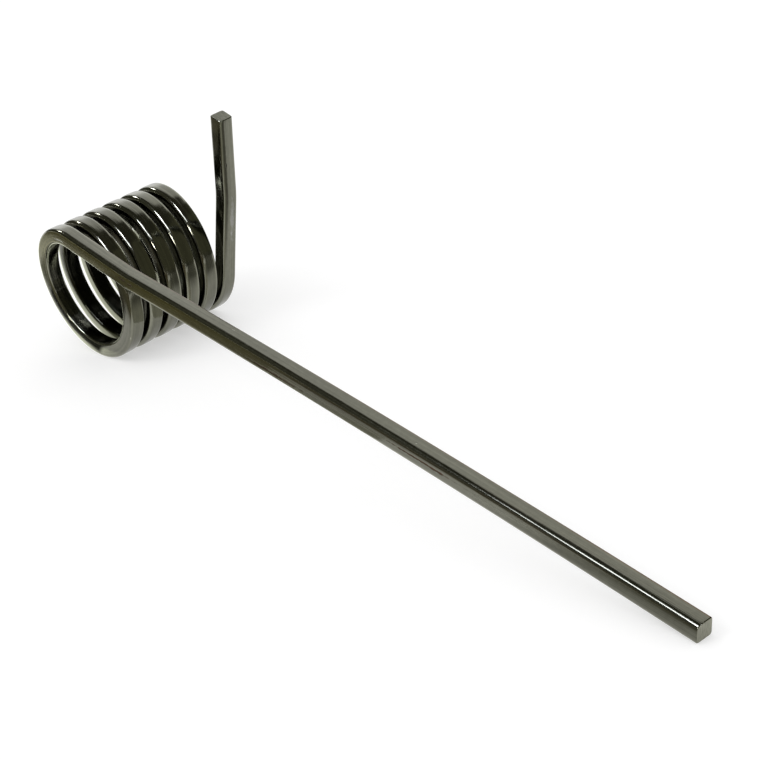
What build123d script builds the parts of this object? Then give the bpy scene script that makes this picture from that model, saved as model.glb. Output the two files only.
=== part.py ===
from build123d import *
from math import asin, atan2, cos, hypot, pi, sin
import os

# Torsion spring coiled from square wire, left-hand wound, with a long and a short leg.
# Millimetres.  The coil's axis lies along Y, from the long leg's end (y = 0) to the short
# leg's.  +Z is up, with the spring lying on its barrel and on the tip of its long leg.

# Wire
WIRE = 5.0                  # side of the square wire
WIRE_CORNER = 0.8           # radius along the four edges of the wire
END_ROUNDING = 0.45         # radius round the rim of each cropped end

# Coil
MEAN_RADIUS = 20.6          # coil axis to the middle of the wire
PITCH = 7.3                 # advance along the axis in one turn
TURNS = 5.728               # from where the long leg leaves to where the short one does
BURNISH = 0.02              # what the winding arbor rubs off the inside of the coil

# Legs.  Each leg leaves the coil in line with the wire there, and its bends and its tip
# are given as (along that line, outward from the coil, towards the coil's middle).
LONG_KNEE = (34.0, 0.0, 0.0)
LONG_MIDDLE = (146.4, 4.8, 2.5)
LONG_TIP = (258.1, 5.0, 5.0)
LONG_RADII = (120.0, 4800.0)    # the set at the knee, and the slow bow beyond it
SHORT_KNEE = (30.2, 0.0, 0.0)
SHORT_TIP = (58.8, 0.0, 2.4)
SHORT_RADIUS = 60.0

BORE_RADIUS = MEAN_RADIUS - WIRE / 2 + BURNISH
OUTER_RADIUS = MEAN_RADIUS + WIRE / 2

# The lie of the spring: its barrel and the inner face of the long leg's tip are level
LEAD = atan2(PITCH, 2 * pi * MEAN_RADIUS)
tip_reach = LONG_TIP[0] * cos(LEAD) + LONG_TIP[2] * sin(LEAD) - END_ROUNDING
tip_height = MEAN_RADIUS + LONG_TIP[1] - WIRE / 2
SLOPE = atan2(tip_height, tip_reach) + asin(OUTER_RADIUS / hypot(tip_reach, tip_height))

# The plane the coil is wound from: z along the coil's axis, x to where the long leg leaves
wound = Plane(origin=(0, 0, 0), x_dir=(sin(SLOPE), 0, cos(SLOPE)), z_dir=(0, 1, 0))


def wire_plane(turns, outgoing):
    """The plane across the wire after some turns: x outward, z the way the wire leaves."""
    angle = -2 * pi * turns
    middle = (MEAN_RADIUS * cos(angle), MEAN_RADIUS * sin(angle), PITCH * turns)
    outward = (cos(angle), sin(angle), 0)
    travel = (cos(LEAD) * sin(angle), -cos(LEAD) * cos(angle), sin(LEAD))
    across = Plane(
        origin=wound.from_local_coords(middle),
        x_dir=wound.from_local_coords(outward),
        z_dir=wound.from_local_coords(travel) * outgoing,
    )
    return across


def leg_points(plane, stations):
    """The wire's end followed by a leg's stations, in the spring's own frame."""
    points = [plane.origin]
    for along, outward, inward in stations:
        points.append(plane.from_local_coords((outward, -inward, along)))
    return points


long_leg_plane = wire_plane(0, -1)
short_leg_plane = wire_plane(TURNS, 1)

with BuildPart() as torsion_spring:
    # The coil
    with BuildLine() as coil_line:
        helix = Helix(PITCH, PITCH * TURNS, MEAN_RADIUS, lefthand=True, mode=Mode.PRIVATE)
        add(wound.from_local_coords(helix))
    with BuildSketch(wire_plane(0, 1)):
        RectangleRounded(WIRE, WIRE, WIRE_CORNER)
    sweep(path=coil_line.line, is_frenet=True)

    # The long leg, with a set where it leaves and a slow bow out to its tip
    with BuildLine() as long_line:
        long_points = leg_points(long_leg_plane, (LONG_KNEE, LONG_MIDDLE, LONG_TIP))
        FilletPolyline(*long_points, radius=LONG_RADII)
    with BuildSketch(long_leg_plane):
        RectangleRounded(WIRE, WIRE, WIRE_CORNER)
    sweep(path=long_line.line)

    # The short leg, bent a little back over the coil
    with BuildLine() as short_line:
        short_points = leg_points(short_leg_plane, (SHORT_KNEE, SHORT_TIP))
        FilletPolyline(*short_points, radius=SHORT_RADIUS)
    with BuildSketch(short_leg_plane):
        RectangleRounded(WIRE, WIRE, WIRE_CORNER)
    sweep(path=short_line.line)

    # The arbor leaves the inside of the coil round
    with BuildSketch(wound.offset(-WIRE)):
        Circle(BORE_RADIUS)
    extrude(amount=PITCH * TURNS + 2 * WIRE, mode=Mode.SUBTRACT)

    # The two cropped ends, with their rims rounded over
    for tip in (long_points[-1], short_points[-1]):
        end_face = torsion_spring.faces().sort_by_distance(tip)[0]
        fillet(end_face.edges(), END_ROUNDING)

torsion_spring.part.label = "torsion_spring"

os.makedirs("parts", exist_ok=True)
export_step(torsion_spring.part, "parts/torsion_spring.step")
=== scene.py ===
"""A torsion spring coiled from square spring-steel wire, dressed for a studio picture.

The wire is one piece.  A Geometry Nodes tree lays its centre line out by rule (a straight
leg with a slow bow, a left-hand helix, a short bent leg), sweeps the drawn section along it
and rounds the two cropped ends.  Lengths are in millimetres until they reach Blender.
"""

import logging
import math
from dataclasses import dataclass, field
from enum import Enum
from typing import Any

import bpy
from mathutils import Euler, Matrix, Vector


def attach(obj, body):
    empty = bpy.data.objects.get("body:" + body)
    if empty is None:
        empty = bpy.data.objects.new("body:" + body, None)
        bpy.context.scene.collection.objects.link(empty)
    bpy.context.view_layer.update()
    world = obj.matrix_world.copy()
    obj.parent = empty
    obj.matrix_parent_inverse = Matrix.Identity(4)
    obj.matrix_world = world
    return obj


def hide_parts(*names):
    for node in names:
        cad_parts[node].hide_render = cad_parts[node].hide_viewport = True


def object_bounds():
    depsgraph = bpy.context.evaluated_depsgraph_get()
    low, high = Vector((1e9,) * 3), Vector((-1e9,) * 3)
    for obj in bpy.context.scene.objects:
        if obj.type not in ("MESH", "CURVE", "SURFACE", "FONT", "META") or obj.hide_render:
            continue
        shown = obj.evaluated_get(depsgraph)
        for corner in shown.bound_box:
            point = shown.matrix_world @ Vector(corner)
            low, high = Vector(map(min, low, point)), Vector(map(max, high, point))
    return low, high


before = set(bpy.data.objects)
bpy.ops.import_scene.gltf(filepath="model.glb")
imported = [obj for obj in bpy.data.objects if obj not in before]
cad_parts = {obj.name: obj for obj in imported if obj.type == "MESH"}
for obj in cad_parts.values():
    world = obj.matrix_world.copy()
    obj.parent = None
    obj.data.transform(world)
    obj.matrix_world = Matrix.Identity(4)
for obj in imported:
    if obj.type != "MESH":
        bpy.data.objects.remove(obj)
CAD_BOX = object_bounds()

LOG = logging.getLogger("spring")
MM = 0.001
NODE_NAME = "torsion_spring"

# The kinds of node used most.
MATH = "ShaderNodeMath"
VECTOR_MATH = "ShaderNodeVectorMath"
MAP_RANGE = "ShaderNodeMapRange"
MIX = "ShaderNodeMix"
NAMED = "GeometryNodeInputNamedAttribute"
STORE = "GeometryNodeStoreNamedAttribute"

Triple = tuple[float, float, float]

# Where an effect is absent, and where it is whole.
Reach = tuple[float, float]


# ---------------------------------------------------------------- small helpers

def add_node(tree: Any, kind: str, inputs: Any = (), out: Any = 0, **settings: Any) -> Any:
    """Adds one node to a tree, sets it and links it.

    Args:
        tree: The node tree.
        kind: The node's type name.
        inputs: Values or sockets for its inputs, in order or by name or number.
        out: Which output to return, by number or name, or None for them all.
        settings: The node's own settings.

    Returns:
        The chosen output, all outputs, or the node itself where it has none.
    """
    made = tree.nodes.new(kind)
    for name, value in settings.items():
        setattr(made, name, value)
    pairs = inputs.items() if isinstance(inputs, dict) else enumerate(inputs)
    for key, value in pairs:
        if isinstance(value, bpy.types.NodeSocket):
            tree.links.new(value, made.inputs[key])
        elif value is not None:
            made.inputs[key].default_value = value
    if not len(made.outputs):
        return made
    return made.outputs if out is None else made.outputs[out]


def linear(colour: str) -> tuple[float, float, float, float]:
    """Turns an sRGB hex colour such as "#8a8c80" into linear RGBA."""
    parts = [int(colour[i:i + 2], 16) / 255 for i in (1, 3, 5)]
    low = [c / 12.92 if c <= 0.04045 else ((c + 0.055) / 1.055) ** 2.4 for c in parts]
    return (*low, 1.0)


# ---------------------------------------------------------------- the wire's sizes

@dataclass(frozen=True)
class Wire:
    """The drawn square wire, in millimetres.

    The crown and the corner left square lie between places along the coil, in turns.
    """

    side: float = 5.0
    squareness: float = 8.0
    eased_squareness: float = 4.4
    crown: float = 0.26
    crown_start: float = -0.6
    crown_balance: float = 0.5
    crown_begins: Reach = (0.17, 0.30)
    crown_ends: Reach = (5.728, 5.4966)
    square_begins: Reach = (0.10, 0.19)
    square_ends: Reach = (0.84, 0.74)
    end_rounding: float = 0.25
    section_points: int = 72


@dataclass(frozen=True)
class Bend:
    """A slow turn of a leg: where it starts, how long it is and its angle in radians."""

    start: float
    length: float
    angle: float


@dataclass(frozen=True)
class Sway:
    """Where the winding strayed along the coil: middle and reach in turns, shift in mm."""

    at_turn: float
    reach: float
    shift: float


@dataclass(frozen=True)
class Coil:
    """The left-hand coil and its two legs, in millimetres and turns."""

    mean_radius: float = 20.6
    pitch: float = 7.3
    turns: float = 5.728
    long_leg: float = 258.1
    short_leg: float = 58.8
    knee: Bend = Bend(31.4, 5.1, 0.0427)
    bow: Bend = Bend(49.0, 195.0, -0.0409)
    side_set: Bend = Bend(31.4, 5.1, 0.0223)
    short_bend: Bend = Bend(27.7, 5.0, 0.0839)
    sways: tuple[Sway, ...] = (Sway(2.9, 0.45, 0.42), Sway(3.9, 0.30, 0.15))
    step: float = 1.2
    tip_steps: int = 6

    @property
    def lead(self) -> float:
        """The helix angle, in radians."""
        return math.atan2(self.pitch, 2 * math.pi * self.mean_radius)

    @property
    def coiled(self) -> float:
        """The length of wire in the coil."""
        return self.turns * math.hypot(self.pitch, 2 * math.pi * self.mean_radius)

    @property
    def length(self) -> float:
        """The whole length of wire."""
        return self.long_leg + self.coiled + self.short_leg

    def at(self, turns: float) -> float:
        """The running length where the wire has made so many turns."""
        return self.long_leg + self.coiled * turns / self.turns


@dataclass(frozen=True)
class Lie:
    """How the coil lies in the row frame: turned about Y until the long leg's tip is down."""

    slope: float = math.radians(10.2515)

    @property
    def matrix(self) -> Matrix:
        """From the winding frame (Z along the coil, X to the long leg's start) to the row's."""
        outward = Vector((math.sin(self.slope), 0, math.cos(self.slope)))
        along = Vector((0, 1, 0))
        return Matrix((outward, along.cross(outward), along)).transposed()


# ---------------------------------------------------------------- the wire, swept by rule

@dataclass
class SquareWireTree:
    """Builds the node tree that winds the square wire.

    Every station of the wire has a running length from the long leg's tip.  Its place is
    one vector in the plane across the coil's axis, turned about that axis by the angle
    wound so far, so the legs and the helix share one formula and meet without a step.
    """

    wire: Wire = field(default_factory=Wire)
    coil: Coil = field(default_factory=Coil)

    def inputs(self) -> dict[str, float]:
        """The tree's named inputs and their values, in millimetres, turns and radians."""
        return {
            "Wire Side": self.wire.side,
            "Squareness": self.wire.squareness,
            "Eased Squareness": self.wire.eased_squareness,
            "End Rounding": self.wire.end_rounding,
            "Crown": self.wire.crown,
            "Mean Radius": self.coil.mean_radius,
            "Pitch": self.coil.pitch,
            "Turns": self.coil.turns,
            "Lead Angle": self.coil.lead,
            "Coiled Length": self.coil.coiled,
            "Long Leg": self.coil.long_leg,
            "Short Leg": self.coil.short_leg,
            "Step": self.coil.step,
        }

    def leg_offset(self, tree: Any, along: Any, bend: Bend) -> Any:
        """How far a bend has carried a leg sideways.

        Args:
            tree: The node tree.
            along: The socket with the distance out from the coil.
            bend: Where the bend is and how sharp.

        Returns:
            The socket with the offset: a parabola inside the bend, a straight line past it.
        """
        past = add_node(tree, MATH, (along, bend.start), operation="SUBTRACT")
        inside = add_node(
            tree, "ShaderNodeClamp", {"Value": past, "Min": 0.0, "Max": bend.length})
        squared = add_node(tree, MATH, (inside, inside), operation="MULTIPLY")
        curved = add_node(tree, MATH, (squared, 2 * bend.length), operation="DIVIDE")
        beyond = add_node(tree, MATH, (past, bend.length), operation="SUBTRACT")
        straight = add_node(tree, MATH, (beyond, 0.0), operation="MAXIMUM")
        total = add_node(tree, MATH, (curved, straight), operation="ADD")
        return add_node(tree, MATH, (total, bend.angle), operation="MULTIPLY")

    def stations(self, tree: Any, sizes: Any) -> tuple[Any, Any, Any]:
        """A row of points with its running length and the section's scale.

        Args:
            tree: The node tree.
            sizes: The group input node's outputs.

        Returns:
            The points' geometry, the running length socket and the scale socket.
        """
        legs = add_node(tree, MATH, (sizes["Long Leg"], sizes["Short Leg"]), operation="ADD")
        whole = add_node(tree, MATH, (legs, sizes["Coiled Length"]), operation="ADD")
        rims = add_node(tree, MATH, (sizes["End Rounding"], 2.0), operation="MULTIPLY")
        plain = add_node(tree, MATH, (whole, rims), operation="SUBTRACT")
        steps = add_node(tree, MATH, (plain, sizes["Step"]), operation="DIVIDE")
        between = add_node(tree, MATH, (steps,), operation="CEIL")
        exact = add_node(tree, MATH, (plain, between), operation="DIVIDE")
        rim_steps = float(self.coil.tip_steps)
        count = add_node(tree, MATH, (between, 2 * rim_steps + 1), operation="ADD")
        points = add_node(tree, "GeometryNodeMeshLine", {"Count": count}, mode="OFFSET")

        index = add_node(tree, "GeometryNodeInputIndex")
        past_rim = add_node(tree, MATH, (index, rim_steps), operation="SUBTRACT")
        past_plain = add_node(tree, MATH, (past_rim, between), operation="SUBTRACT")
        middle = add_node(
            tree, "ShaderNodeClamp", {"Value": past_rim, "Min": 0.0, "Max": between})

        # Each rim is a quarter of a circle, from the tip inwards at the long leg and out
        # to the tip at the short one.
        waves = {}
        for end, passed in (("first", index), ("last", past_plain)):
            share = add_node(tree, "ShaderNodeClamp", {
                "Value": add_node(tree, MATH, (passed, rim_steps), operation="DIVIDE")})
            angle = add_node(tree, MATH, (share, math.pi / 2), operation="MULTIPLY")
            for wave in ("SINE", "COSINE"):
                waves[end, wave] = add_node(tree, MATH, (angle,), operation=wave)
        begun = add_node(tree, MATH, (1.0, waves["first", "COSINE"]), operation="SUBTRACT")
        ended = add_node(tree, MATH, (begun, waves["last", "SINE"]), operation="ADD")
        at_ends = add_node(tree, MATH, (ended, sizes["End Rounding"]), operation="MULTIPLY")
        running = add_node(tree, MATH, (middle, exact, at_ends), operation="MULTIPLY_ADD")

        full = add_node(tree, MATH, (waves["first", "SINE"], waves["last", "COSINE"]),
                        operation="ADD")
        short = add_node(tree, MATH, (2.0, full), operation="SUBTRACT")
        shy = add_node(tree, MATH, (short, sizes["End Rounding"]), operation="MULTIPLY")
        half = add_node(tree, MATH, (sizes["Wire Side"], 0.5), operation="MULTIPLY")
        lost = add_node(tree, MATH, (shy, half), operation="DIVIDE")
        scale = add_node(tree, MATH, (1.0, lost), operation="SUBTRACT")
        return points, running, scale

    def centre_line(self, tree: Any, sizes: Any, running: Any) -> tuple[Any, Any]:
        """Where the wire's middle is and which way its outer face looks.

        Args:
            tree: The node tree.
            sizes: The group input node's outputs.
            running: The running length from the long leg's tip.

        Returns:
            The place and the outward direction, as sockets, in the winding frame.
        """
        beyond = add_node(tree, MATH, (sizes["Long Leg"], running), operation="SUBTRACT")
        come = add_node(tree, MATH, (running, sizes["Long Leg"]), operation="SUBTRACT")
        past_coil = add_node(tree, MATH, (come, sizes["Coiled Length"]), operation="SUBTRACT")
        out_long = add_node(tree, MATH, (beyond, 0.0), operation="MAXIMUM")
        out_short = add_node(tree, MATH, (past_coil, 0.0), operation="MAXIMUM")
        wound = add_node(tree, MATH, (come, sizes["Coiled Length"]), operation="DIVIDE")
        share = add_node(tree, "ShaderNodeClamp", {"Value": wound})
        turns = add_node(tree, MATH, (share, sizes["Turns"]), operation="MULTIPLY")
        angle = add_node(tree, MATH, (turns, -2 * math.pi), operation="MULTIPLY")

        set_out = add_node(tree, MATH, (
            self.leg_offset(tree, out_long, self.coil.knee),
            self.leg_offset(tree, out_long, self.coil.bow)), operation="ADD")
        outward = add_node(tree, MATH, (set_out, sizes["Mean Radius"]), operation="ADD")
        level = add_node(tree, MATH, (out_long, out_short), operation="SUBTRACT")
        inward = add_node(tree, MATH, (
            self.leg_offset(tree, out_long, self.coil.side_set),
            self.leg_offset(tree, out_short, self.coil.short_bend)), operation="SUBTRACT")
        unturned = add_node(
            tree, "ShaderNodeCombineXYZ", {"X": outward, "Y": level, "Z": inward})
        lean = add_node(tree, MATH, (sizes["Lead Angle"], -1.0), operation="MULTIPLY")
        turned = unturned
        for by, axis in ((lean, "X_AXIS"), (angle, "Z_AXIS")):
            turned = add_node(tree, "ShaderNodeVectorRotate", {
                "Vector": turned, "Angle": by}, rotation_type=axis)
        travel = add_node(tree, MATH, (turns, sizes["Pitch"]), operation="MULTIPLY")
        for sway in self.coil.sways:
            past = add_node(tree, MATH, (turns, sway.at_turn), operation="SUBTRACT")
            apart = add_node(tree, MATH, (past,), operation="ABSOLUTE")
            shift = add_node(tree, MAP_RANGE, {
                "Value": apart, "From Min": sway.reach, "From Max": 0.0,
                "To Max": sway.shift}, interpolation_type="SMOOTHSTEP")
            travel = add_node(tree, MATH, (travel, shift), operation="ADD")
        advance = add_node(tree, "ShaderNodeCombineXYZ", {"Z": travel})
        place = add_node(tree, VECTOR_MATH, (turned, advance), operation="ADD")
        facing = add_node(
            tree, "ShaderNodeVectorRotate", {"Vector": (1.0, 0.0, 0.0), "Angle": angle},
            rotation_type="Z_AXIS")
        return place, facing

    def section(self, tree: Any, sizes: Any) -> Any:
        """The drawn section: a square whose corners and sides run into each other.

        The corner that looks outward and to the front is eased: it is rounder than the rest.

        Args:
            tree: The node tree.
            sizes: The group input node's outputs.

        Returns:
            The closed section curve, a superellipse with its X side facing outward.
        """
        ring = add_node(tree, "GeometryNodeCurvePrimitiveCircle", {
            "Resolution": self.wire.section_points, "Radius": 1.0})
        parts = add_node(tree, "ShaderNodeSeparateXYZ", (
            add_node(tree, "GeometryNodeInputPosition"),), out=None)
        eased = add_node(tree, MATH, (
            add_node(tree, MATH, (parts["X"], 0.0), operation="GREATER_THAN"),
            add_node(tree, MATH, (parts["Y"], 0.0), operation="LESS_THAN")),
            operation="MULTIPLY")
        squareness = add_node(tree, MAP_RANGE, {
            "Value": eased, "To Min": sizes["Squareness"],
            "To Max": sizes["Eased Squareness"]})
        half = add_node(tree, MATH, (sizes["Wire Side"], 0.5), operation="MULTIPLY")
        shapes = []
        for exponent in (squareness, sizes["Squareness"]):
            power = add_node(tree, MATH, (2.0, exponent), operation="DIVIDE")
            squared = {}
            for axis in "XY":
                size = add_node(tree, MATH, (parts[axis],), operation="ABSOLUTE")
                pushed = add_node(tree, MATH, (size, power), operation="POWER")
                sign = add_node(tree, MATH, (parts[axis],), operation="SIGN")
                signed = add_node(tree, MATH, (pushed, sign), operation="MULTIPLY")
                squared[axis] = add_node(tree, MATH, (signed, half), operation="MULTIPLY")
            shapes.append(add_node(tree, "ShaderNodeCombineXYZ", squared))
        to_square = add_node(tree, VECTOR_MATH, (shapes[1], shapes[0]), operation="SUBTRACT")
        ring = add_node(tree, STORE, {
            "Geometry": ring, "Name": "to_square", "Value": to_square},
            data_type="FLOAT_VECTOR")
        return add_node(
            tree, "GeometryNodeSetPosition", {"Geometry": ring, "Position": shapes[0]})

    def crowned(self, tree: Any, sizes: Any, mesh: Any) -> Any:
        """Lets the coil's front faces fall away to the outside, where winding drew them thin.

        Round the first turn the eased corner is left square.

        Args:
            tree: The node tree.
            sizes: The group input node's outputs.
            mesh: The swept wire, in the winding frame.

        Returns:
            The wire's geometry with the crown on it.
        """
        half = self.wire.side / 2
        running, across, to_square, facing = (
            add_node(tree, NAMED, {"Name": name}, data_type=kind)
            for name, kind in (("running", "FLOAT"), ("across", "FLOAT_VECTOR"),
                               ("to_square", "FLOAT_VECTOR"), ("facing", "FLOAT_VECTOR")))
        begun, over, rises, falls = (
            add_node(tree, MAP_RANGE, {
                "Value": running, "From Min": self.coil.at(none),
                "From Max": self.coil.at(whole)}, interpolation_type="SMOOTHSTEP")
            for none, whole in (self.wire.crown_begins, self.wire.crown_ends,
                                self.wire.square_begins, self.wire.square_ends))

        parts = add_node(tree, "ShaderNodeSeparateXYZ", (across,), out=None)
        outward = add_node(tree, MAP_RANGE, {
            "Value": parts["X"], "From Min": self.wire.crown_start, "From Max": half})
        frontward = add_node(tree, MAP_RANGE, {
            "Value": parts["Y"], "From Min": 0.0, "From Max": -half})
        amount = add_node(tree, MATH, (outward, outward), operation="MULTIPLY")
        amount = add_node(tree, MATH, (amount, self.wire.crown_balance), operation="SUBTRACT")
        for share in (frontward, begun, over, sizes["Crown"]):
            amount = add_node(tree, MATH, (amount, share), operation="MULTIPLY")

        kept = add_node(tree, MATH, (rises, falls), operation="MULTIPLY")
        squaring = add_node(
            tree, VECTOR_MATH, {"Vector": to_square, "Scale": kept}, operation="SCALE")
        square = add_node(tree, "ShaderNodeSeparateXYZ", (squaring,), out=None)
        radial = add_node(
            tree, VECTOR_MATH, {"Vector": facing, "Scale": square["X"]}, operation="SCALE")
        along = add_node(tree, MATH, (amount, square["Y"]), operation="ADD")
        axial = add_node(tree, "ShaderNodeCombineXYZ", {"Z": along})
        offset = add_node(tree, VECTOR_MATH, (radial, axial), operation="ADD")
        return add_node(tree, "GeometryNodeSetPosition", {"Geometry": mesh, "Offset": offset})

    def build(self, material: Any, lie: Matrix) -> Any:
        """Makes the whole tree.

        Args:
            material: The wire's finish.
            lie: The turn from the winding frame to the row frame.

        Returns:
            The geometry node group.
        """
        tree = bpy.data.node_groups.new("wind_square_wire", "GeometryNodeTree")
        for name in self.inputs():
            tree.interface.new_socket(name, in_out="INPUT", socket_type="NodeSocketFloat")
        tree.interface.new_socket(
            "Geometry", in_out="OUTPUT", socket_type="NodeSocketGeometry")
        sizes = add_node(tree, "NodeGroupInput", out=None)

        line, running, scale = self.stations(tree, sizes)
        place, facing = self.centre_line(tree, sizes, running)
        for name, value, kind in (
                ("running", running, "FLOAT"), ("section_scale", scale, "FLOAT"),
                ("facing", facing, "FLOAT_VECTOR")):
            line = add_node(tree, STORE, {
                "Geometry": line, "Name": name, "Value": value}, data_type=kind)
        line = add_node(tree, "GeometryNodeSetPosition", {"Geometry": line, "Position": place})
        line = add_node(tree, "GeometryNodeMeshToCurve", {"Mesh": line})
        line = add_node(tree, "GeometryNodeSetCurveNormal", {
            "Curve": line,
            "Normal": add_node(tree, NAMED, {"Name": "facing"}, data_type="FLOAT_VECTOR")},
            mode="FREE")

        section = self.section(tree, sizes)
        section = add_node(tree, STORE, {
            "Geometry": section, "Name": "across",
            "Value": add_node(tree, "GeometryNodeInputPosition")},
            data_type="FLOAT_VECTOR")
        mesh = add_node(tree, "GeometryNodeCurveToMesh", {
            "Curve": line, "Profile Curve": section, "Fill Caps": True,
            "Scale": add_node(tree, NAMED, {"Name": "section_scale"}, data_type="FLOAT")})
        mesh = add_node(tree, "GeometryNodeTransform", {
            "Geometry": self.crowned(tree, sizes, mesh),
            "Rotation": add_node(tree, "FunctionNodeEulerToRotation", (tuple(lie.to_euler()),)),
            "Scale": (MM, MM, MM)})
        mesh = add_node(tree, "GeometryNodeRealizeInstances", (mesh,))
        mesh = add_node(tree, "GeometryNodeSetMaterial", (mesh, None, material))
        add_node(tree, "NodeGroupOutput", (mesh,))
        return tree


def mesh_from_tree(name: str, tree: Any, sizes: dict[str, float]) -> Any:
    """Runs a geometry tree and keeps its result as a plain mesh object.

    Args:
        name: The new object's name.
        tree: The geometry node group.
        sizes: The values of the tree's named inputs.

    Returns:
        The object, with no modifier left on it.
    """
    piece = bpy.data.objects.new(name, bpy.data.meshes.new(name + "_base"))
    bpy.context.scene.collection.objects.link(piece)
    modifier = piece.modifiers.new("made", "NODES")
    modifier.node_group = tree
    for item in tree.interface.items_tree:
        if item.in_out == "INPUT" and item.name in sizes:
            modifier[item.identifier] = float(sizes[item.name])
    bpy.context.view_layer.update()
    ready = piece.evaluated_get(bpy.context.evaluated_depsgraph_get())
    mesh = bpy.data.meshes.new_from_object(ready)
    mesh.name = name
    piece.modifiers.remove(modifier)
    piece.data = mesh
    return piece


# ---------------------------------------------------------------- the wire's finish

class Face(Enum):
    """A side of the section: the axis across the wire it lies on, and which way."""

    OUTER = ("X", 1.0)
    INNER = ("X", -1.0)
    FRONT = ("Y", -1.0)
    BACK = ("Y", 1.0)


class Wear(Enum):
    """What a mark has left on the steel, with its colour."""

    NICK = "#b4b4a6"
    RUB = "#90908a"
    STAIN = "#4a3620"
    SOOT = "#1c1c18"


@dataclass(frozen=True)
class Mark:
    """One mark: its face, what it is, where it lies and its size, in millimetres."""

    face: Face
    wear: Wear
    running: float
    across: float
    length: float
    width: float


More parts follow.
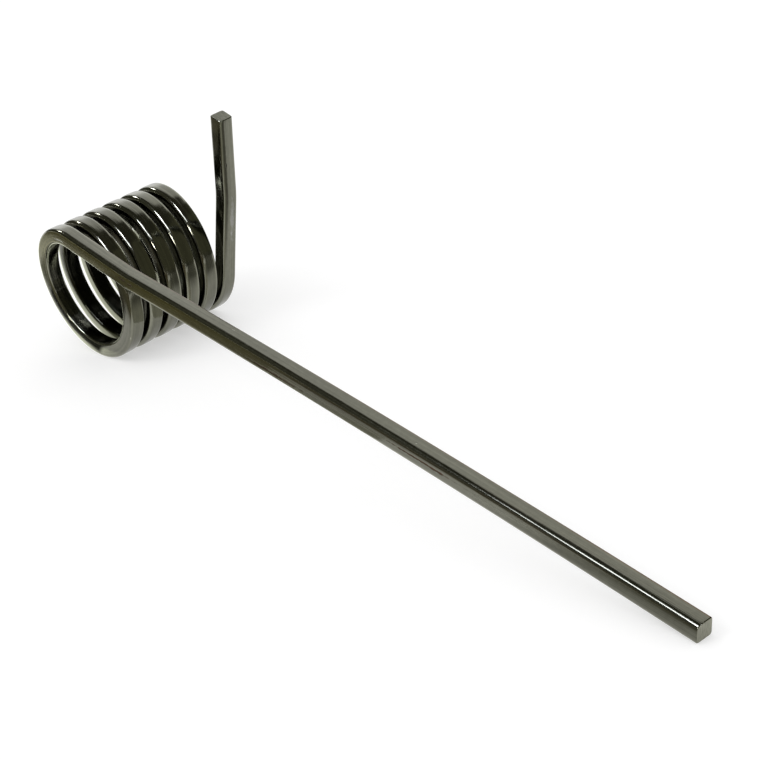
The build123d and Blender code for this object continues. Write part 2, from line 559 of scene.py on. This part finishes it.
@dataclass(frozen=True)
class DrawnSpringSteel:
    """Hard-drawn spring steel, oil-blackened: a dark metal, glossy, with an olive cast.

    It mirrors its surroundings sharply, broken by the die's fine lines and broad streaks
    along the wire.  The faces that turn to each other inside the coil are darker with
    painted shade; the corners are paler with wear and a painted highlight, the back
    corner has rusted to a thin brown rim, and the cropped ends are satin.

    Reaches across the wire are shares of half its side, from the middle out.  Reaches
    along it are in turns, in millimetres in from the tip, or in millimetres before the coil.
    """

    name: str = "drawn_spring_steel"
    base: str = "#717165"
    oiled: str = "#716f4b"
    # Painted shade: the next two colours darken the faces between the turns and the inner
    # faces, as if shadowed there.
    between: str = "#4b4b40"
    bore_shade: str = "#33332c"
    # Paler corners: worn metal, with a painted highlight along them.
    edges_wear_and_highlight: str = "#8a8a7c"
    rim: str = "#5e4a36"
    cropped: str = "#8a8a7b"
    roughness: Reach = (0.08, 0.17)
    cropped_roughness: float = 0.36
    line_size: Triple = (0.40, 0.40, 34.0)
    streak_size: Triple = (1.2, 1.2, 90.0)
    mottle_size: Triple = (1.1, 1.1, 1.7)
    shear_size: Triple = (2.0, 0.30, 2.0)
    line_depth: float = 0.010
    dimple_depth: float = 0.005
    shear_depth: float = 0.05
    mark_depth: float = -0.03
    mark_roughness: float = 0.30
    mark_ragged: float = 0.9
    mark_outline: Reach = (1.5, 0.9)
    pattern_span: Reach = (0.28, 0.72)
    torn_gain: Reach = (0.7, 1.2)
    cut_depth: float = 0.03
    line_swing: float = 0.13
    streak_swing: float = 0.14
    mottle_swing: float = 0.08
    # How far the corners' wear and painted highlight can fade along the streaks.
    least_wear_and_highlight: float = 0.55
    least_rusted: float = 0.35
    # Where the painted shade between the turns begins and ends.
    between_turns: Reach = (0.70, 1.05)
    between_tip: Reach = (3.5, 6.0)
    oiled_before: Reach = (125.0, 60.0)
    oiled_turns: Reach = (0.30, 0.16)
    rusted_before: Reach = (4.0, 40.0)
    rusty_streak: Reach = (0.1, 0.6)
    off_outside: Reach = (0.62, 0.28)
    near_face: Reach = (0.80, 0.97)
    near_corner: Reach = (0.62, 0.78)
    near_rim: Reach = (0.64, 0.80)
    mark_on_face: Reach = (0.86, 0.97)
    marks: tuple[Mark, ...] = (
        Mark(Face.FRONT, Wear.SOOT, 432.8, 1.1, 2.4, 0.8),
        Mark(Face.FRONT, Wear.SOOT, 439.0, 0.6, 1.6, 0.6),
        Mark(Face.FRONT, Wear.NICK, 346.7, 1.9, 1.3, 0.7),
        Mark(Face.FRONT, Wear.STAIN, 223.8, 0.5, 4.4, 1.0),
        Mark(Face.FRONT, Wear.STAIN, 219.6, 0.1, 3.0, 0.8),
        Mark(Face.FRONT, Wear.RUB, 262.0, -0.9, 7.0, 0.7),
        Mark(Face.FRONT, Wear.STAIN, 150.0, -0.9, 26.0, 0.9),
        Mark(Face.FRONT, Wear.STAIN, 88.0, 0.2, 30.0, 0.7),
        Mark(Face.OUTER, Wear.NICK, 171.0, 0.8, 1.2, 0.5),
        Mark(Face.OUTER, Wear.NICK, 92.5, -0.3, 0.9, 0.5),
        Mark(Face.OUTER, Wear.RUB, 1022.0, 0.6, 16.0, 1.6),
        Mark(Face.OUTER, Wear.SOOT, 1043.0, -1.0, 2.0, 0.5),
        Mark(Face.BACK, Wear.NICK, 120.0, 0.4, 1.1, 0.6),
        Mark(Face.INNER, Wear.NICK, 64.0, -0.7, 1.4, 0.5),
    )

    def pattern(self, tree: Any, spot: Any, size: Triple, detail: float = 3.0) -> Any:
        """A soft random pattern, stretched to a real size.

        Args:
            tree: The material's node tree.
            spot: The place, in millimetres: across the wire twice, then along it.
            size: How large the pattern's grains are in each of the three, in millimetres.
            detail: How many finer layers it has.

        Returns:
            A socket that runs from 0 to 1.
        """
        scaled = add_node(
            tree, VECTOR_MATH, (spot, tuple(1 / value for value in size)), operation="MULTIPLY")
        grains = add_node(tree, "ShaderNodeTexNoise", {
            "Vector": scaled, "Scale": 1.0, "Detail": detail})
        return add_node(tree, MAP_RANGE, {
            "Value": grains, "From Min": self.pattern_span[0],
            "From Max": self.pattern_span[1]})

    def cover(self, tree: Any, mark: Mark, place: Any, running: Any, ragged: Any,
              half: float) -> Any:
        """How far a mark covers a point.

        Args:
            tree: The material's node tree.
            mark: The mark.
            place: The outputs with the place across the section.
            running: The running length along the wire.
            ragged: A pattern that breaks up the mark's outline.
            half: Half the wire's side.

        Returns:
            A socket that is 1 inside the mark and 0 outside it.
        """
        axis, side = mark.face.value
        along = add_node(tree, MAP_RANGE, {
            "Value": running, "From Min": mark.running,
            "From Max": mark.running + mark.length / 2}, clamp=False)
        aside = add_node(tree, MAP_RANGE, {
            "Value": place["Y" if axis == "X" else "X"], "From Min": mark.across,
            "From Max": mark.across + mark.width / 2}, clamp=False)
        apart = add_node(tree, VECTOR_MATH, (
            add_node(tree, "ShaderNodeCombineXYZ", (along, aside)),),
            out="Value", operation="LENGTH")
        apart = add_node(tree, MATH, (apart, ragged), operation="ADD")
        inside = add_node(tree, MAP_RANGE, {
            "Value": apart, "From Min": self.mark_outline[0],
            "From Max": self.mark_outline[1]})
        on_face = add_node(tree, MAP_RANGE, {
            "Value": place[axis], "From Min": side * half * self.mark_on_face[0],
            "From Max": side * half * self.mark_on_face[1]})
        return add_node(tree, MATH, (inside, on_face), operation="MULTIPLY")

    def zones(self, tree: Any, coil: Coil, half: float, place: Any,
              running: Any) -> dict[str, Any]:
        """Where on the wire a point lies.

        Args:
            tree: The material's node tree.
            coil: The coil's sizes.
            half: Half the wire's side.
            place: The outputs with the place across the section.
            running: The running length along the wire.

        Returns:
            A socket for each zone's name, which runs from 0 outside it to 1 inside it.
        """
        sizes = [add_node(tree, MATH, (place[axis],), operation="ABSOLUTE") for axis in "XY"]
        corner = add_node(tree, MATH, sizes, operation="MINIMUM")
        back_corner = add_node(tree, MATH, (place["X"], place["Y"]), operation="MINIMUM")
        reaches = {
            # wound, off_tip and inward bound the painted shade between the turns.
            "wound": (running, [coil.at(turns) for turns in self.between_turns]),
            "off_tip": (running, [coil.length - short for short in self.between_tip]),
            "oil_begins": (running, [coil.long_leg - short for short in self.oiled_before]),
            "oil_ends": (running, [coil.at(turns) for turns in self.oiled_turns]),
            "rust": (running, [coil.long_leg - short for short in self.rusted_before]),
            "inward": (place["X"], [half * share for share in self.off_outside]),
            # How near the inner face a point is, for the painted shade there.
            "bore_shade": (place["X"], [-half * share for share in self.near_face]),
            "front": (place["Y"], [-half * share for share in self.near_face]),
            "corner": (corner, [half * share for share in self.near_corner]),
            "rim": (back_corner, [half * share for share in self.near_rim]),
        }
        return {name: add_node(tree, MAP_RANGE, {
            "Value": value, "From Min": none, "From Max": whole})
            for name, (value, (none, whole)) in reaches.items()}

    def steel(self, tree: Any, zones: dict[str, Any], streaks: Any) -> Any:
        """The steel's colour before its lines and marks.

        Args:
            tree: The material's node tree.
            zones: The sockets for where on the wire a point lies.
            streaks: The pattern of broad streaks.

        Returns:
            The colour socket.
        """
        inside = zones["wound"]
        for share in (zones["off_tip"], zones["inward"]):
            inside = add_node(tree, MATH, (inside, share), operation="MULTIPLY")
        open_air = add_node(tree, MATH, (1.0, inside), operation="SUBTRACT")
        wear_and_highlight = add_node(tree, MAP_RANGE, {"Value": streaks, "To Min": self.least_wear_and_highlight})
        rusty = add_node(tree, MAP_RANGE, {
            "Value": streaks, "From Min": self.rusty_streak[0],
            "From Max": self.rusty_streak[1], "To Min": self.least_rusted})
        # Painted shade on the faces between the turns, darker still on the inner faces.
        painted_turn_shade = add_node(tree, MIX, {
            "Factor": zones["bore_shade"], "A": linear(self.between), "B": linear(self.bore_shade)},
            data_type="RGBA", out="Result")

        # In order: a film of old oil browns the front of the bend into the long leg, the
        # faces between the turns get painted shade, the corners are made paler with wear
        # and a painted highlight, more in some places than in others, and the outer corner
        # at the back has a rusty rim.
        colour = linear(self.base)
        for paint, shares in (
                (linear(self.oiled), (zones["oil_begins"], zones["oil_ends"], zones["front"])),
                (painted_turn_shade, (inside,)),
                # Wear and a painted highlight make the corners paler.
                (linear(self.edges_wear_and_highlight), (zones["corner"], open_air, wear_and_highlight)),
                (linear(self.rim), (zones["rim"], zones["rust"], rusty))):
            cover = 1.0
            for share in shares:
                cover = add_node(tree, MATH, (cover, share), operation="MULTIPLY")
            colour = add_node(tree, MIX, {
                "Factor": cover, "A": colour, "B": paint}, data_type="RGBA", out="Result")
        return colour

    def build(self, coil: Coil, wire: Wire) -> Any:
        """Makes the material.

        Args:
            coil: The coil's sizes, for where along the wire the turns lie.
            wire: The section's sizes, for which face of it a point is on.

        Returns:
            The material.
        """
        material = bpy.data.materials.new(self.name)
        material.use_nodes = True
        tree = material.node_tree
        shader = tree.nodes["Principled BSDF"]
        shader.inputs["Metallic"].default_value = 1.0
        half = wire.side / 2
        running = add_node(tree, "ShaderNodeAttribute", out="Fac", attribute_name="running")
        place = add_node(tree, "ShaderNodeSeparateXYZ", (add_node(
            tree, "ShaderNodeAttribute", out="Vector", attribute_name="across"),), out=None)
        spot = add_node(
            tree, "ShaderNodeCombineXYZ", {"X": place["X"], "Y": place["Y"], "Z": running})
        lines = self.pattern(tree, spot, self.line_size)
        streaks = self.pattern(tree, spot, self.streak_size, 2.0)
        mottle = self.pattern(tree, spot, self.mottle_size, 4.0)
        zones = self.zones(tree, coil, half, place, running)
        colour = self.steel(tree, zones, streaks)

        # The die's lines and streaks, and the mottled oxide, a little light and dark.
        # The real lines are near 0.05 mm apart; they are drawn coarser so that they show.
        for pattern, swing in ((lines, self.line_swing), (streaks, self.streak_swing),
                               (mottle, self.mottle_swing)):
            gain = add_node(tree, MAP_RANGE, {
                "Value": pattern, "To Min": 1 - swing, "To Max": 1 + swing})
            colour = add_node(tree, VECTOR_MATH, {
                "Vector": colour, "Scale": gain}, operation="SCALE")
        both = add_node(tree, MATH, (streaks, mottle), operation="ADD")
        gloss = add_node(tree, MATH, (both, 0.5), operation="MULTIPLY")
        roughness = add_node(tree, MAP_RANGE, {
            "Value": gloss, "To Min": self.roughness[0], "To Max": self.roughness[1]})

        # The marks.
        ragged = add_node(tree, MAP_RANGE, {"Value": mottle, "To Max": self.mark_ragged})
        marked = 0.0
        for mark in self.marks:
            cover = self.cover(tree, mark, place, running, ragged, half)
            colour = add_node(tree, MIX, {
                "Factor": cover, "A": colour, "B": linear(mark.wear.value)},
                data_type="RGBA", out="Result")
            marked = add_node(tree, MATH, (marked, cover), operation="MAXIMUM")
        roughness = add_node(tree, MIX, {
            "Factor": marked, "A": roughness, "B": self.mark_roughness}, out="Result")

        # The cropped ends: torn satin metal with lines left by the shear.
        cuts = [add_node(tree, MATH, (running, place_on), operation=side)
                for place_on, side in ((self.cut_depth, "LESS_THAN"),
                                       (coil.length - self.cut_depth, "GREATER_THAN"))]
        cut = add_node(tree, MATH, cuts, operation="ADD")
        metres = add_node(tree, "ShaderNodeTexCoord", out="Object")
        millimetres = add_node(tree, VECTOR_MATH, (metres, (1 / MM,) * 3), operation="MULTIPLY")
        torn = self.pattern(tree, millimetres, self.shear_size, 4.0)
        gain = add_node(tree, MAP_RANGE, {
            "Value": torn, "To Min": self.torn_gain[0], "To Max": self.torn_gain[1]})
        bare = add_node(tree, VECTOR_MATH, {
            "Vector": linear(self.cropped)[:3], "Scale": gain}, operation="SCALE")
        colour = add_node(tree, MIX, {
            "Factor": cut, "A": colour, "B": bare}, data_type="RGBA", out="Result")
        roughness = add_node(tree, MIX, {
            "Factor": cut, "A": roughness, "B": self.cropped_roughness}, out="Result")

        # Relief, from the same patterns: the lines, shallow dimples and the torn ends.
        smooth = add_node(tree, MATH, (1.0, cut), operation="SUBTRACT")
        relief = 0.0
        for pattern, depth, share in (
                (torn, self.shear_depth, cut), (lines, self.line_depth, smooth),
                (mottle, self.dimple_depth, smooth), (marked, self.mark_depth, smooth)):
            height = add_node(tree, MATH, (pattern, depth * MM), operation="MULTIPLY")
            relief = add_node(tree, MATH, (height, share, relief), operation="MULTIPLY_ADD")
        normal = add_node(tree, "ShaderNodeBump", {
            "Strength": 1.0, "Distance": 1.0, "Height": relief})
        for name, socket in (("Base Color", colour), ("Roughness", roughness),
                             ("Normal", normal)):
            tree.links.new(socket, shader.inputs[name])
        return material


# ---------------------------------------------------------------- the spring

@dataclass
class TorsionSpring:
    """The one piece of wire, wound and dressed."""

    tree: SquareWireTree = field(default_factory=SquareWireTree)
    lie: Lie = field(default_factory=Lie)
    finish: DrawnSpringSteel = field(default_factory=DrawnSpringSteel)

    def build(self) -> Any:
        """Winds the wire, gives it its finish and ties it to the frame."""
        material = self.finish.build(self.tree.coil, self.tree.wire)
        node_tree = self.tree.build(material, self.lie.matrix)
        piece = mesh_from_tree("wound_wire", node_tree, self.tree.inputs())
        piece.data.shade_smooth()
        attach(piece, "root")
        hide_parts(NODE_NAME)
        return piece


# ---------------------------------------------------------------- the studio

Sides = tuple[float, float, float, float]
HARD: Sides = (0.0, 0.0, 0.0, 0.0)


@dataclass(frozen=True)
class Card:
    """A plain card that stands or lies beside the set and is seen only in reflections.

    Its four corners go round it, in millimetres.  Its cover fades out to nothing over the
    given widths inside its first to fourth sides, as a soft-edged flag's does.
    """

    name: str
    colour: str
    corners: tuple[Triple, ...]
    soft_sides: Sides = HARD
    glow: float = 1.0

    def build(self) -> Any:
        """Makes the card and takes it out of every ray but the glossy ones."""
        first, second, third, fourth = (Vector(corner) * MM for corner in self.corners)
        across, along = (second - first).length / MM, (fourth - first).length / MM
        low, right, high, left = self.soft_sides
        columns = (0.0, left / across, 1.0 - right / across, 1.0)
        rows = (0.0, low / along, 1.0 - high / along, 1.0)
        points = [first.lerp(second, column).lerp(fourth.lerp(third, column), row)
                  for row in rows for column in columns]
        faces = [(i, i + 1, i + 5, i + 4) for i in (0, 1, 2, 4, 5, 6, 8, 9, 10)]
        mesh = bpy.data.meshes.new(self.name)
        mesh.from_pydata(points, [], faces)
        cover = mesh.attributes.new("cover", "FLOAT", "POINT")
        for index in range(16):
            row, column = divmod(index, 4)
            open_side = (row == 0 and low) or (row == 3 and high) or (
                column == 0 and left) or (column == 3 and right)
            cover.data[index].value = 0.0 if open_side else 1.0
        mesh.materials.append(self.material())
        card = bpy.data.objects.new(self.name, mesh)
        bpy.context.scene.collection.objects.link(card)
        for rays in ("camera", "diffuse", "shadow", "transmission", "volume_scatter"):
            setattr(card, "visible_" + rays, False)
        return card

    def material(self) -> Any:
        """An even glow of the card's colour, let through where its cover fades."""
        material = bpy.data.materials.new(self.name)
        material.use_nodes = True
        tree = material.node_tree
        tree.nodes.clear()
        glow = add_node(tree, "ShaderNodeEmission", {
            "Color": linear(self.colour), "Strength": self.glow})
        clear = add_node(tree, "ShaderNodeBsdfTransparent")
        cover = add_node(tree, "ShaderNodeAttribute", out="Fac", attribute_name="cover")
        smooth = add_node(tree, MAP_RANGE, {"Value": cover}, interpolation_type="SMOOTHSTEP")
        mixed = add_node(tree, "ShaderNodeMixShader", (smooth, clear, glow))
        add_node(tree, "ShaderNodeOutputMaterial", (mixed,))
        return material


def level_card(name: str, colour: str, height: float, corners: tuple[tuple[float, float], ...],
               soft_sides: Sides = HARD, glow: float = 1.0) -> Card:
    """A card that lies level.

    Args:
        name: The card's name.
        colour: Its colour.
        height: How high it lies, in millimetres.
        corners: Its four corners in plan, in millimetres.
        soft_sides: The widths over which its sides fade.
        glow: How bright it is, where 1 is white.

    Returns:
        The card.
    """
    return Card(name, colour, tuple((*corner, height) for corner in corners), soft_sides, glow)


def softbox(name: str, azimuth: float, elevation: float, size: tuple[float, float],
            glow: float, distance: float = 1300.0) -> Card:
    """A bright card turned to the coil.

    Args:
        name: The card's name.
        azimuth: Its bearing from the coil, in degrees from +Y towards +X.
        elevation: Its height above the level, in degrees.
        size: Its width and height, in degrees as the coil sees them.
        glow: How bright it is, where 1 is white.
        distance: How far it is from the coil, in millimetres.

    Returns:
        The card.
    """
    turn = Euler((math.radians(elevation), 0.0, -math.radians(azimuth)), "XYZ").to_matrix()
    wide, high = (distance * math.tan(math.radians(angle / 2)) for angle in size)
    corners = tuple(
        tuple(turn @ Vector((side * wide, distance, up * high)))
        for side, up in ((-1, -1), (1, -1), (1, 1), (-1, 1)))
    return Card(name, "#ffffff", corners, glow=glow)


@dataclass
class Studio:
    """A pale floor under a white sky, small softboxes, and dark cards for the metal.

    The floor's reach and the key light's size and place are in metres.
    """

    floor_colour: str = "#fdfdfc"
    floor_seen: str = "#cbcbcb"
    floor_lift: float = 0.47
    floor_reach: float = 30.0
    world_strength: float = 0.9
    key_energy: float = 4.0
    key_size: float = 0.7
    key_place: Triple = (-0.4, -1.1, 1.3)

    def seen(self, tree: Any) -> Any:
        """A socket that is 1 for what the camera, metal or glass sees, and 0 for light."""
        rays = add_node(tree, "ShaderNodeLightPath", out=None)
        metal = add_node(tree, MATH, (
            rays["Is Camera Ray"], rays["Is Glossy Ray"]), operation="MAXIMUM")
        return add_node(tree, MATH, (metal, rays["Is Transmission Ray"]), operation="MAXIMUM")

    def floor(self) -> Any:
        """The pale floor, level with the spring's lowest corner, with a light shadow."""
        material = bpy.data.materials.new("pale_floor")
        material.use_nodes = True
        tree = material.node_tree
        shader = tree.nodes["Principled BSDF"]
        shader.inputs["Roughness"].default_value = 1.0
        shader.inputs["Specular IOR Level"].default_value = 0.0
        seen = self.seen(tree)
        colour = add_node(tree, MIX, {
            "Factor": seen, "A": linear(self.floor_colour), "B": linear(self.floor_seen)},
            data_type="RGBA", out="Result")
        lift = add_node(tree, MAP_RANGE, {
            "Value": seen, "To Min": 0.0, "To Max": self.floor_lift})
        shader.inputs["Emission Color"].default_value = (1.0, 1.0, 1.0, 1.0)
        tree.links.new(colour, shader.inputs["Base Color"])
        tree.links.new(lift, shader.inputs["Emission Strength"])
        low, reach = CAD_BOX[0].z, self.floor_reach
        mesh = bpy.data.meshes.new("floor")
        corners = ((-1, -1), (1, -1), (1, 1), (-1, 1))
        mesh.from_pydata(
            [(x * reach, y * reach, low) for x, y in corners], [], [(0, 1, 2, 3)])
        mesh.materials.append(material)
        floor = bpy.data.objects.new("floor", mesh)
        bpy.context.scene.collection.objects.link(floor)
        return floor

    def world(self) -> Any:
        """The even white sky: the camera sees it as white, and so does the metal."""
        world = bpy.data.worlds.new("white_room")
        world.use_nodes = True
        tree = world.node_tree
        tree.nodes.clear()
        strength = add_node(tree, MAP_RANGE, {
            "Value": self.seen(tree), "To Min": self.world_strength})
        background = add_node(tree, "ShaderNodeBackground", {
            "Color": (1.0, 1.0, 1.0, 1.0), "Strength": strength})
        add_node(tree, "ShaderNodeOutputWorld", (background,))
        bpy.context.scene.world = world
        return world

    def key_light(self) -> Any:
        """One large weak softbox high on the left, for the soft side of the shadow."""
        data = bpy.data.lights.new("key_light", "AREA")
        data.shape = "SQUARE"
        data.size = self.key_size
        data.energy = self.key_energy
        lamp = bpy.data.objects.new("key_light", data)
        lamp.location = Vector(self.key_place)
        lamp.rotation_euler = lamp.location.to_track_quat("Z", "Y").to_euler()
        lamp.visible_glossy = False
        bpy.context.scene.collection.objects.link(lamp)
        return lamp

    def cards(self) -> list[Card]:
        """The cards, in millimetres: a dark table round the floor, a dark room, softboxes,
        and level cards of painted shade and painted light round the spring.

        Where level cards overlap, the metal sees the upper one.
        """
        table = CAD_BOX[0].z / MM + 1.0
        room = table + 1.0
        far = 1800.0
        return [
            level_card("left_table", "#7c7864", table,
                       ((-700, -900), (60, -900), (60, -14), (-700, -80)), (0, 0, 18, 0)),
            level_card("front_table", "#6c6450", table,
                       ((60, -900), (900, -900), (900, -30), (60, -20)), (0, 0, 24, 0)),
            # Painted shadow, seen only in the metal: the floor darkened in front of the leg's
            # tip, where its shadow falls.
            level_card("tip_shade", "#7c7c70", table - 0.4,
                       ((170, -60), (300, -60), (300, -11), (170, -9)), (0, 0, 9, 80)),
            # Painted shade, seen only in the metal: a dark patch of floor.
            level_card("far_shade", "#3c3c34", table - 0.4,
                       ((-114, -86), (-150, -115), (-172, -87), (-136, -58)), (0, 0, 0, 20)),
            # Painted shade, seen only in the metal: a dimmer patch of floor by the knee.
            level_card("knee_shade", "#bcbcb0", table - 0.8,
                       ((60, -30), (126, -30), (126, 48), (20, 28))),
            # Painted shadow, seen only in the metal: the ring's shadow on the floor in front of
            # it, here and in the next two cards.
            level_card("left_shade", "#50504a", table - 0.5,
                       ((-80, -54), (-50, -54), (-16, -14), (-50, -32)), (6, 6, 0, 6)),
            level_card("ring_dark", "#3c3c36", table - 0.55,
                       ((-68, -50), (-10.5, -11.5), (-0.5, 1.9), (-68, -12.2)), (6, 4, 6, 6)),
            level_card("ring_shade", "#8e8e82", table - 0.6,
                       ((-100, -38), (-66, -34), (-66, -12), (-100, -20)), (6, 0, 6, 8)),
            # Painted light, seen only in the metal: a glowing sheet that brightens the floor
            # under the coil.
            level_card("ring_pale", "#fcfff0", table - 0.8,
                       ((-170, -24), (12, -1), (12, 60), (-170, 60)), (0, 34, 20, 20), 2.5),
            level_card("right_table", "#5c5c50", table,
                       ((300, -28), (1100, 590), (680, 1130), (-120, 518))),
            # Painted shadow, seen only in the metal: the coil's shadow on the floor to its
            # right.
            level_card("right_shade", "#7c7c74", table - 0.5,
                       ((48, -4), (324, 177), (291, 227), (15, 46)), (6, 0, 16, 50)),
            level_card("canopy", "#4c4c40", 900,
                       ((-far, -far), (far, -far), (far, 535), (-far, 535)), (0, 0, 120, 0)),
            level_card("canopy_flap", "#4c4c40", 899,
                       ((-365, 380), (far, 380), (far, 625), (-365, 625)), (0, 0, 60, 160)),
            Card("right_wall", "#686856", (
                (far, -far, room), (-320, far, room),
                (-320, far, far), (far, -far, far)), (0, 200, 0, 0)),
            Card("left_wall", "#4c4c40", (
                (-far, -far, room), (-far, 480, room),
                (-far, 480, far), (-far, -far, far)), (0, 80, 0, 0)),
            Card("front_wall", "#60605a", (
                (-far, -far, room), (far, -far, room),
                (far, -far, far), (-far, -far, far))),
            Card("back_softbox", "#ffffff", (
                (-1900, 480, 80), (-1300, 1350, 80),
                (-1300, 1350, 880), (-1900, 480, 880)), (120, 200, 240, 80), 1.35),
            level_card("overhead_strip", "#e8ecff", 890,
                       ((-135, -490), (440, -560), (440, -410), (-135, -235)),
                       (0, 40, 0, 50), 20.0),
            level_card("overhead_box", "#e8ecff", 889,
                       ((-10, -420), (215, -460), (215, -270), (-10, -190)),
                       (0, 20, 0, 20), 20.0),
            level_card("leg_softbox", "#e8ecff", 300,
                       ((-24, -161), (10, -199), (182, -44), (148, -6)), (0, 10, 0, 90), 8.0),
            softbox("left_strip", -92.0, 34.0, (5.0, 8.0), 30.0),
            softbox("right_strip", 168.0, 23.0, (8.0, 8.0), 36.0),
        ]

    def build(self) -> None:
        """Sets the whole studio up."""
        self.world()
        self.floor()
        self.key_light()
        for card in self.cards():
            card.build()


@dataclass(frozen=True)
class PictureCamera:
    """The camera, in millimetres and degrees."""

    place: Triple = (468.35, -231.14, 199.67)
    turn: Triple = (63.473, 10.769, 48.771)
    lens: float = 81.677
    sensor: float = 36.0
    nearest: float = 10.0

    def build(self) -> Any:
        """Makes the camera and sets it as the scene's."""
        data = bpy.data.cameras.new("picture_camera")
        data.lens = self.lens
        data.sensor_width = self.sensor
        data.clip_start = self.nearest * MM
        camera = bpy.data.objects.new("picture_camera", data)
        camera.location = [value * MM for value in self.place]
        camera.rotation_euler = Euler([math.radians(value) for value in self.turn], "XYZ")
        bpy.context.scene.collection.objects.link(camera)
        bpy.context.scene.camera = camera
        return camera


def set_picture_look() -> None:
    """Keeps colours as written."""
    bpy.context.scene.view_settings.view_transform = "Standard"


def main() -> None:
    """Builds the picture."""
    logging.basicConfig(level=logging.INFO, format="%(name)s: %(message)s")
    set_picture_look()
    piece = TorsionSpring().build()
    LOG.info("%s: %d faces", piece.name, len(piece.data.polygons))
    Studio().build()
    PictureCamera().build()
    LOG.info("studio and camera are up")


if __name__ == "__main__":
    main()
